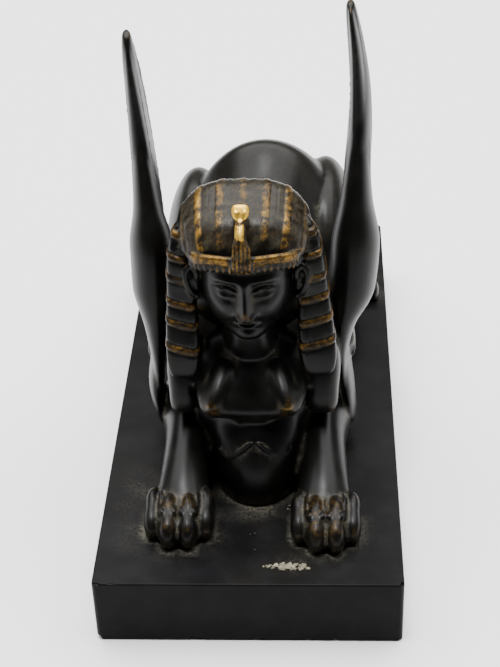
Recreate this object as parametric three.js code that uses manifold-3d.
import * as THREE from 'three';
import { mergeVertices } from 'three/addons/utils/BufferGeometryUtils.js';
import Module from 'manifold-3d';

const wasm = await Module();
wasm.setup();

// Plinth sizes
const PLINTH_WIDTH = 76;
const PLINTH_LENGTH = 169;
const PLINTH_HEIGHT = 19;
const PLINTH_CORNER = 1.2;
const PLINTH_ARRIS = 0.5;

// Figure sizes: heights are above the plinth, distances back from the plinth's front edge
const LEFT_PAW_SIDE = 17.6;
const RIGHT_PAW_SIDE = 19.1;
const LEFT_PAW_FRONT = 11.1;
const RIGHT_PAW_FRONT = 9.6;
const TOE_COUNT = 4;
const TOE_PITCH = 4.7;
const HIND_PAW_SIDE = 31;
const HIND_PAW_FRONT = 122;
const HIND_TOE_PITCH = 2.3;
const CHEST_FRONT = 27.5;
const BREAST_SIDE = 9.8;
const BREAST_FRONT = 32.2;
const BREAST_HEIGHT = 27.6;
const NECK_HEIGHT = 52;
const CROWN_HEIGHT = 79.2;
const BAND_HEIGHT = 66.8;
const STRIPE_COUNT = 18;
const STRIPE_RELIEF = 0.35;
const CLOTH_BANDS = 9;
const CLOTH_RELIEF = 0.4;
const CLOTH_END_HEIGHT = 32.6;
const LEFT_HAUNCH_HEIGHT = 39;
const RIGHT_HAUNCH_HEIGHT = 42.5;
const HAUNCH_LENGTH = 54.8;
const RUMP_HEIGHT = 53.9;
const LEFT_WING_HEIGHT = 110.3;
const RIGHT_WING_HEIGHT = 116.6;
const PRIMARY_COUNT = 6;
const SECONDARY_COUNT = 4;
const FEATHER_WIDTH = 9;
const LEFT_SPLAY = 0.08;
const RIGHT_SPLAY = 0.05;
const GROUND_CUT = 30;

const TAU = Math.PI * 2;
const mix = THREE.MathUtils.lerp;

// A place on the figure: across, back from the plinth's front edge, up from the plinth's top
function at(across, back, up) {
  return new THREE.Vector3(across, back - PLINTH_LENGTH / 2, up + PLINTH_HEIGHT);
}

// A closed surface with shared corners and faces turned out, ready to be joined or cut
function solid(geometry) {
  geometry.deleteAttribute('normal');
  geometry.deleteAttribute('uv');
  const merged = mergeVertices(geometry, 1e-5);
  const corners = merged.attributes.position.array;
  const faces = Uint32Array.from(merged.index.array);
  let volume = 0;
  const a = new THREE.Vector3();
  const b = new THREE.Vector3();
  const c = new THREE.Vector3();
  for (let i = 0; i < faces.length; i += 3) {
    a.fromArray(corners, faces[i] * 3);
    b.fromArray(corners, faces[i + 1] * 3);
    c.fromArray(corners, faces[i + 2] * 3);
    volume += a.dot(b.cross(c));
  }
  if (volume < 0) {
    for (let i = 0; i < faces.length; i += 3) {
      [faces[i], faces[i + 1]] = [faces[i + 1], faces[i]];
    }
  }
  const mesh = new wasm.Mesh({ numProp: 3, vertProperties: Float32Array.from(corners), triVerts: faces });
  return new wasm.Manifold(mesh);
}

// A rounded body round a curved spine. Each station holds its place and its two half sizes.
// A higher fill makes the ends blunter and a higher flat makes the section squarer. The carve
// adds relief by the angle and the row along, and the bend shifts finished places.
function limb(stations, around, along, { fill = 2, flat = 2, carve = () => 0, bend = () => {} } = {}) {
  const spine = new THREE.CatmullRomCurve3(stations.map(([x, b, h]) => at(x, b, h)));
  const girth = new THREE.CatmullRomCurve3(stations.map((s) => new THREE.Vector3(s[3], s[4], 0)));
  const ball = new THREE.SphereGeometry(1, around, along);
  const corners = ball.attributes.position;
  const side = new THREE.Vector3();
  const up = new THREE.Vector3();
  const squared = (value) => Math.sign(value) * Math.abs(value) ** (2 / flat);
  for (let i = 0; i < corners.count; i += 1) {
    const y = THREE.MathUtils.clamp(corners.getY(i), -1, 1);
    const way = (1 - y) / 2;
    const swell = (1 - Math.abs(y) ** fill) ** (1 / fill);
    const angle = Math.atan2(corners.getZ(i), corners.getX(i));
    const place = spine.getPoint(way);
    const size = girth.getPoint(way);
    const forward = spine.getTangent(way);
    side.set(1, 0, 0).addScaledVector(forward, -forward.x).normalize();
    up.crossVectors(side, forward);
    const relief = carve(angle, Math.acos(y) / Math.PI);
    place.addScaledVector(side, squared(Math.cos(angle)) * swell * (size.x + relief));
    place.addScaledVector(up, squared(Math.sin(angle)) * swell * (size.y + relief));
    bend(place);
    corners.setXYZ(i, place.x, place.y, place.z);
  }
  return solid(ball);
}

// A ball stretched to three half sizes
function lobe(x, b, h, halfX, halfB, halfH, around, along) {
  const ball = new THREE.SphereGeometry(1, around, along);
  ball.scale(halfX, halfB, halfH);
  const centre = at(x, b, h);
  ball.translate(centre.x, centre.y, centre.z);
  return solid(ball);
}

const pieces = [];
const sides = [-1, 1];

// Trunk: a long body lying on the plinth, low behind the wings and high over the rump
pieces.push(limb([
  [0.5, 32, 14, 8, 14],
  [0.5, 44, 15, 17, 21],
  [0, 60, 14, 20, 24],
  [0, 80, 13, 18.5, 25],
  [0, 100, 13, 17.5, 27],
  [0.8, 114, 14, 21, 33],
  [1.8, 127, 14, 25, RUMP_HEIGHT - 14],
  [1.5, 142, 14, 24, 33],
  [0.5, 154, 13, 18, 24],
  [0, 164, 12, 9, 13],
], 16, 12, { fill: 3 }));

// Chest: a body under the neck, a shelf that slopes forward to the bust, and the keel below it
pieces.push(limb([
  [0.4, 53, 42, 9, 6],
  [0.4, 51, 34, 13, 7],
  [0.4, 50, 20, 13, 10],
], 10, 5, { fill: 2.6 }));
pieces.push(limb([
  [0.4, 52, 35.4, 13, 5],
  [0.4, 46, 31.6, 14.2, 4.4],
  [0.4, 39.5, 28, 14.2, 4.2],
  [0.3, BREAST_FRONT + 1.2, BREAST_HEIGHT - 2.7, 12.4, 3.9],
], 14, 8, { fill: 4 }));
pieces.push(limb([
  [1, 48, 22, 12, 9],
  [1.4, 43, 14, 12, 11],
  [1.6, 39.5, 5, 11, 39 - CHEST_FRONT],
  [1.6, 39, -7, 10, 11.5],
], 12, 7, { fill: 3 }));
for (const s of sides) {
  pieces.push(limb([
    [0.3 + s * 6.4, 44, 34, 2.2, 1.5],
    [0.3 + s * 8, 38, 30.7, 2.4, 1.7],
    [0.3 + s * BREAST_SIDE, BREAST_FRONT, BREAST_HEIGHT, 1.9, 1.6],
  ], 8, 4, { fill: 3 }));
}

// Forelegs: an arm that hangs over the foreleg, the foreleg along the plinth, and a paw of four toes
const forelegs = [
  [-1, -17.2, 3.7, -17, -LEFT_PAW_SIDE, LEFT_PAW_FRONT],
  [1, 18.4, 4.2, 18.6, RIGHT_PAW_SIDE, RIGHT_PAW_FRONT],
];
for (const [s, arm, wide, leg, paw, front] of forelegs) {
  pieces.push(limb([
    [arm * 0.9, 55, 37, wide * 1.2, 6],
    [arm, 49, 31, wide + 0.5, 6.6],
    [arm, 45.6, 25, wide, 5.6],
    [arm, 44, 19.4, wide, 4.8],
  ], 10, 6, { fill: 5, flat: 2.6 }));
  pieces.push(limb([
    [leg + s * 2.4, 74, 8, 7, 10],
    [leg + s * 1.4, 60, 8, 7, 9.5],
    [leg, 46, 8, 6, 9.4],
    [leg, 36, 6.2, 6.2, 8.2],
    [leg, 26, 4.6, 7.2, 6.6],
    [leg, front + 7, 3, 7.8, 4.4],
  ], 10, 8, { fill: 3.4 }));
  for (let toe = 0; toe < TOE_COUNT; toe += 1) {
    const spread = toe - (TOE_COUNT - 1) / 2;
    const outer = Math.abs(spread) > 1;
    const x = paw + spread * TOE_PITCH;
    const back = front + (outer ? 3.4 : 0);
    const half = outer ? 2.2 : 2.5;
    const high = outer ? 0.84 : 1;
    pieces.push(limb([
      [mix(x, paw, 0.25), front + 17, 4, half, 4.8 * high],
      [x, back + 10.2, 4.3, half, 5.6 * high],
      [x, back + 4, 2.9, half, 5.2 * high],
      [x, back + 0.4, 1.3, half * 0.95, 3.4],
    ], 6, 6, { fill: 4 }));
  }
}

// Haunches, knees and hind feet
for (const [s, side, top] of [[-1, -19.2, LEFT_HAUNCH_HEIGHT], [1, 19.6, RIGHT_HAUNCH_HEIGHT]]) {
  pieces.push(lobe(side, 131, top - 25, 9.8, HAUNCH_LENGTH / 2, 25, 12, 7));
  pieces.push(lobe(s * 22, 114, 12, 8.2, 14.2, 13.2, 10, 6));
  pieces.push(limb([
    [s * 26, 158, 5, 4, 5],
    [s * 29.5, 147, 4.5, 5, 5],
    [s * HIND_PAW_SIDE, 136, 3.6, 4.2, 4.4],
    [s * HIND_PAW_SIDE, HIND_PAW_FRONT + 2, 2.4, 4.6, 4],
  ], 8, 6, { fill: 2.8 }));
  for (let toe = 0; toe < TOE_COUNT; toe += 1) {
    const x = s * HIND_PAW_SIDE + (toe - (TOE_COUNT - 1) / 2) * HIND_TOE_PITCH;
    pieces.push(lobe(x, HIND_PAW_FRONT + 3.5, 2.4, 1.5, 3.5, 3.4, 6, 4));
  }
}

// Tail: laid down from the rump and round the left haunch, ending in a tuft
pieces.push(limb([
  [0, 157, 24, 2.8, 2.8],
  [-4, 163.6, 12, 2.3, 2.3],
  [-15, 160.6, 6.5, 2.2, 2.2],
  [-26, 150, 9, 2.2, 2.2],
  [-30.6, 138, 14, 2.2, 2.2],
  [-30.4, 128, 20, 3, 3],
  [-28.4, 121, 25, 1.4, 1.4],
], 6, 14, { fill: 3.2 }));

// Neck and head under the cloth
pieces.push(limb([
  [0.3, 53, 30, 8.4, 8],
  [0.4, 49.6, 38, 7, 7],
  [0.2, 48, 46, 6.6, 7],
  [0, 48, NECK_HEIGHT, 6, 6],
], 12, 5, { fill: 3 }));
pieces.push(limb([
  [0.4, 41.4, 43.4, 5.4, 4.4],
  [0.3, 45, 48.4, 8.9, 9.2],
  [0.1, 47, 56, 10.9, 11.4],
  [-0.2, 49, 64, 11.4, 12.2],
  [-0.4, 52, 72, 10, 12],
], 14, 7, { fill: 2.6 }));

// Face: a plain nose, eyelids, lips and chin, and the two ears
pieces.push(limb([
  [0, 38.4, 65.5, 1.6, 1.6],
  [0.1, 36, 60, 1.2, 1.6],
  [0.2, 34, 54.8, 1.9, 1.9],
  [0.2, 35.6, 52.8, 1.3, 1],
], 6, 5, { fill: 2.4 }));
pieces.push(lobe(0.3, 38.6, 49.8, 2.8, 2.6, 1.1, 8, 4));
pieces.push(lobe(0.4, 39.2, 45.6, 3.2, 2.6, 2, 8, 5));
for (const s of sides) {
  pieces.push(lobe(s * 4.4, 37.8, 60.2, 2.2, 1.1, 1, 8, 5));
  pieces.push(limb([
    [s * 12.8, 46.6, 61.8, 1.8, 2.2],
    [s * 13.8, 45.6, 57.8, 1.9, 2.2],
    [s * 12.8, 46, 53.4, 1.4, 1.8],
  ], 6, 4, { fill: 2.4 }));
}

// Headcloth: a striped dome, a back fall, and a flat banded side cloth that ends on the shoulder
const striped = (angle) => STRIPE_RELIEF * Math.cos(angle * STRIPE_COUNT);
const aboveBand = (place) => {
  const back = place.y + PLINTH_LENGTH / 2;
  const hem = back < 46 ? BAND_HEIGHT : mix(BAND_HEIGHT, BAND_HEIGHT - 26, (back - 46) / 24);
  place.z = Math.max(place.z, hem + PLINTH_HEIGHT);
};
pieces.push(limb([
  [-0.4, 41.4, 66, 13, 8.6],
  [-0.4, 46, 65, 15.2, 12.6],
  [-0.6, 54, 62, 16.6, CROWN_HEIGHT - 62],
  [-0.6, 62, 58, 16, 17],
  [-0.5, 70, 52, 11, 12],
], STRIPE_COUNT * 2, 6, { fill: 2.8, flat: 2.8, carve: striped, bend: aboveBand }));
pieces.push(limb([
  [-0.4, 58, 66, 14, 9],
  [-0.2, 59, 56, 18, 9],
  [0, 61, 46, 17.4, 8],
  [0, 64, 38, 10, 6.4],
  [0, 74, 37, 4, 4],
  [0, 86, 35, 3, 4],
], 10, 6, { fill: 3 }));
const banded = (angle, row) => CLOTH_RELIEF * Math.cos(row * CLOTH_BANDS * TAU);
const cloths = [
  [
    [-13.8, 60, 73, 1, 2],
    [-16.2, 53.5, 69, 2.3, 5.5],
    [-16.7, 51, 61.5, 2.9, 5.5],
    [-16.5, 48.5, 53, 3.5, 4.2],
    [-16.4, 45.2, 45, 4, 3.2],
    [-16.4, 42.4, 38.5, 4.1, 2.6],
    [-16.3, 40.6, CLOTH_END_HEIGHT, 4, 2],
  ],
  [
    [13.4, 60, 73, 1, 2],
    [15.6, 53.5, 69, 2.3, 5.5],
    [16, 51, 61.5, 3.1, 5.5],
    [16.3, 48.5, 53, 3.9, 4.2],
    [16.9, 45.2, 45, 4.4, 3.2],
    [17.5, 42.4, 38.5, 4.5, 2.6],
    [17.6, 40.6, CLOTH_END_HEIGHT + 0.8, 4.2, 2],
  ],
];
for (const cloth of cloths) {
  pieces.push(limb(cloth, 8, CLOTH_BANDS * 2, { fill: 6, flat: 4, carve: banded }));
}

// Headband over the brow and the rearing cobra at its centre
const band = new THREE.CatmullRomCurve3([
  at(-14, 47, BAND_HEIGHT - 1), at(-12.2, 41.2, BAND_HEIGHT + 0.6), at(-8, 38, BAND_HEIGHT + 2),
  at(-0.3, 36.1, BAND_HEIGHT + 2.5), at(7.4, 38, BAND_HEIGHT + 2.2), at(11.8, 41.2, BAND_HEIGHT + 1),
  at(13.8, 47, BAND_HEIGHT - 0.6),
]);
const strip = new THREE.Shape();
strip.moveTo(-1.5, -0.9);
strip.lineTo(1.5, -0.9);
strip.lineTo(1.5, 0.9);
strip.lineTo(-1.5, 0.9);
pieces.push(solid(new THREE.ExtrudeGeometry(strip, { steps: 12, bevelEnabled: false, extrudePath: band })));
pieces.push(limb([
  [-0.4, 36.8, 66.5, 2, 1.6],
  [-0.6, 37.2, 70, 2.8, 1.7],
  [-0.8, 39.6, 74.4, 2.2, 2],
  [-0.8, 43.6, 77.4, 1.6, 1.8],
], 8, 7, { fill: 2.6 }));
pieces.push(limb([
  [-0.8, 45, 79.6, 2.2, 1.4],
  [-0.8, 42.4, 77, 1.8, 1.3],
], 8, 5, { fill: 4, flat: 2.6 }));

// Wings: a thin core that rises from the shoulder, a thick front, and feathers fanned behind.
// Each core station holds its place, half thickness and half width from front to back.
const leftCore = [
  [-20.5, 60, 6, 2.4, 9],
  [-22.4, 63, 22, 2.8, 10],
  [-22.6, 66, 35, 3, 11],
  [-24.6, 69, 48, 4.2, 11],
  [-24.9, 72, 60, 4, 11],
  [-25.6, 74, 70, 3.6, 10.5],
  [-26.4, 76, 80, 2.9, 9.5],
  [-27.3, 77, 91, 2.2, 7.5],
  [-28.2, 76.5, 101, 1.9, 5.5],
  [-28.7, 75, LEFT_WING_HEIGHT, 1.6, 3.4],
];
const rightCore = [
  [24.5, 60, 6, 2.4, 9],
  [25.4, 63, 24, 2.8, 10],
  [24.2, 66, 38, 3, 11],
  [26.2, 69, 50, 4.4, 11],
  [26.8, 72, 62, 4.4, 11],
  [27, 74, 74, 3.7, 10.5],
  [27.6, 76, 84, 3.1, 9.5],
  [27.7, 77.5, 94, 2.6, 7.5],
  [26.8, 78, 104, 2.2, 5.5],
  [25.3, 77, RIGHT_WING_HEIGHT, 1.6, 3.4],
];
const primaryTips = new THREE.CatmullRomCurve3([
  new THREE.Vector3(0, 76, 112), new THREE.Vector3(0, 87, 104), new THREE.Vector3(0, 94, 94),
  new THREE.Vector3(0, 98, 83), new THREE.Vector3(0, 99.5, 71),
]);
for (const [s, splay, core, bulge] of [[-1, LEFT_SPLAY, leftCore, 5], [1, RIGHT_SPLAY, rightCore, 5.7]]) {
  const line = new THREE.CatmullRomCurve3(core.map(([x, b, h]) => new THREE.Vector3(x, b, h)));
  const rise = core[core.length - 1][2] - primaryTips.points[0].z - 0.5;
  // The core's sideways place at any height, and the splay of the wing towards its back
  const across = (height) => {
    let i = 0;
    while (i < core.length - 2 && height > core[i + 1][2]) i += 1;
    const part = THREE.MathUtils.clamp((height - core[i][2]) / (core[i + 1][2] - core[i][2]), 0, 1);
    return line.getPoint((i + part) / (core.length - 1)).x;
  };
  const bend = (place) => {
    const front = mix(46, 77, (place.z - PLINTH_HEIGHT - 10) / 105);
    place.x += s * splay * (place.y + PLINTH_LENGTH / 2 - front);
  };
  const feather = (root, tip, thick) => {
    const stations = [0, 0.4, 0.8, 1].map((part) => {
      const b = mix(root[0], tip[0], part) + 2 * Math.sin(part * Math.PI);
      const h = mix(root[1], tip[1], part) - 2 * Math.sin(part * Math.PI);
      return [across(h), b, h, mix(thick, 1, part), FEATHER_WIDTH * mix(0.4, 0.52, part)];
    });
    return limb(stations, 6, 4, { fill: 3, bend });
  };
  pieces.push(limb(core, 8, 10, { fill: 6, bend }));
  pieces.push(limb([
    [across(11), 57, 11, 2.6, 8],
    [across(26), 58, 26, 2.9, 8],
    [across(37), 60, 37, 3.7, 8.5],
    [across(47), 62, 47, bulge, 9.5],
    [across(57), 64, 57, bulge, 9.5],
    [across(66), 67, 66 + rise / 3, bulge * 0.74, 7.5],
  ], 8, 8, { fill: 4, bend }));
  for (let i = 0; i < PRIMARY_COUNT; i += 1) {
    const part = i / (PRIMARY_COUNT - 1);
    const tip = primaryTips.getPoint(part);
    const root = [mix(64, 74, part), mix(64, 50, part)];
    pieces.push(feather(root, [tip.y, tip.z + rise * (1 - part)], mix(3.4, 4, part)));
  }
  for (let i = 0; i < SECONDARY_COUNT; i += 1) {
    const part = (i + 1) / SECONDARY_COUNT;
    const root = [mix(74, 64, part), mix(50, 22, part)];
    const tip = [mix(99.5, 84, part), mix(71, 32, part)];
    pieces.push(feather(root, tip, mix(4, 3, part)));
  }
}

// The figure is one bronze casting, flat where it rests on the plinth
let figure = pieces[0];
for (const piece of pieces.slice(1)) {
  figure = figure.add(piece);
}
const ground = new THREE.BoxGeometry(PLINTH_WIDTH * 2, PLINTH_LENGTH * 2, GROUND_CUT);
ground.translate(0, 0, PLINTH_HEIGHT - GROUND_CUT / 2);
figure = figure.subtract(solid(ground));

// Plinth: one black stone block with soft corners and arrises
const halfWidth = PLINTH_WIDTH / 2;
const halfLength = PLINTH_LENGTH / 2;
const plan = new THREE.Shape();
plan.moveTo(-halfWidth + PLINTH_CORNER, -halfLength);
plan.lineTo(halfWidth - PLINTH_CORNER, -halfLength);
plan.quadraticCurveTo(halfWidth, -halfLength, halfWidth, -halfLength + PLINTH_CORNER);
plan.lineTo(halfWidth, halfLength - PLINTH_CORNER);
plan.quadraticCurveTo(halfWidth, halfLength, halfWidth - PLINTH_CORNER, halfLength);
plan.lineTo(-halfWidth + PLINTH_CORNER, halfLength);
plan.quadraticCurveTo(-halfWidth, halfLength, -halfWidth, halfLength - PLINTH_CORNER);
plan.lineTo(-halfWidth, -halfLength + PLINTH_CORNER);
plan.quadraticCurveTo(-halfWidth, -halfLength, -halfWidth + PLINTH_CORNER, -halfLength);
const block = new THREE.ExtrudeGeometry(plan, {
  depth: PLINTH_HEIGHT - 2 * PLINTH_ARRIS,
  bevelEnabled: true,
  bevelThickness: PLINTH_ARRIS,
  bevelSize: PLINTH_ARRIS,
  bevelOffset: -PLINTH_ARRIS,
  bevelSegments: 1,
  curveSegments: 3,
});
block.translate(0, 0, PLINTH_ARRIS);
let plinth = solid(block);

// Chips along the front of the plinth: across, up from its underside, half width, half depth
const chips = [
  [-13.7, 0, 1.9, 1.1],
  [1.7, 0, 1.2, 0.7],
  [14.4, 0, 1.3, 0.7],
  [21.4, 0, 0.9, 0.6],
  [38, 19, 1.2, 0.9],
];
for (const [x, height, halfSpan, depth] of chips) {
  plinth = plinth.subtract(lobe(x, 0, height - PLINTH_HEIGHT, halfSpan, depth, depth, 8, 6));
}

// A named mesh from a finished solid
function mesh(name, body, material) {
  const { vertProperties, triVerts } = body.getMesh();
  const geometry = new THREE.BufferGeometry();
  geometry.setAttribute('position', new THREE.BufferAttribute(Float32Array.from(vertProperties), 3));
  geometry.setIndex(new THREE.BufferAttribute(Uint32Array.from(triVerts), 1));
  geometry.computeVertexNormals();
  const made = new THREE.Mesh(geometry, material);
  made.name = name;
  return made;
}

const bronze = new THREE.MeshStandardMaterial({ color: 0x241f1c, roughness: 0.35, metalness: 1 });
const stone = new THREE.MeshStandardMaterial({ color: 0x16171a, roughness: 0.45, metalness: 0 });

const statue = new THREE.Group();
statue.name = 'sphinx_statue';
statue.add(mesh('plinth', plinth, stone));
statue.add(mesh('sphinx', figure, bronze));

export default statue;
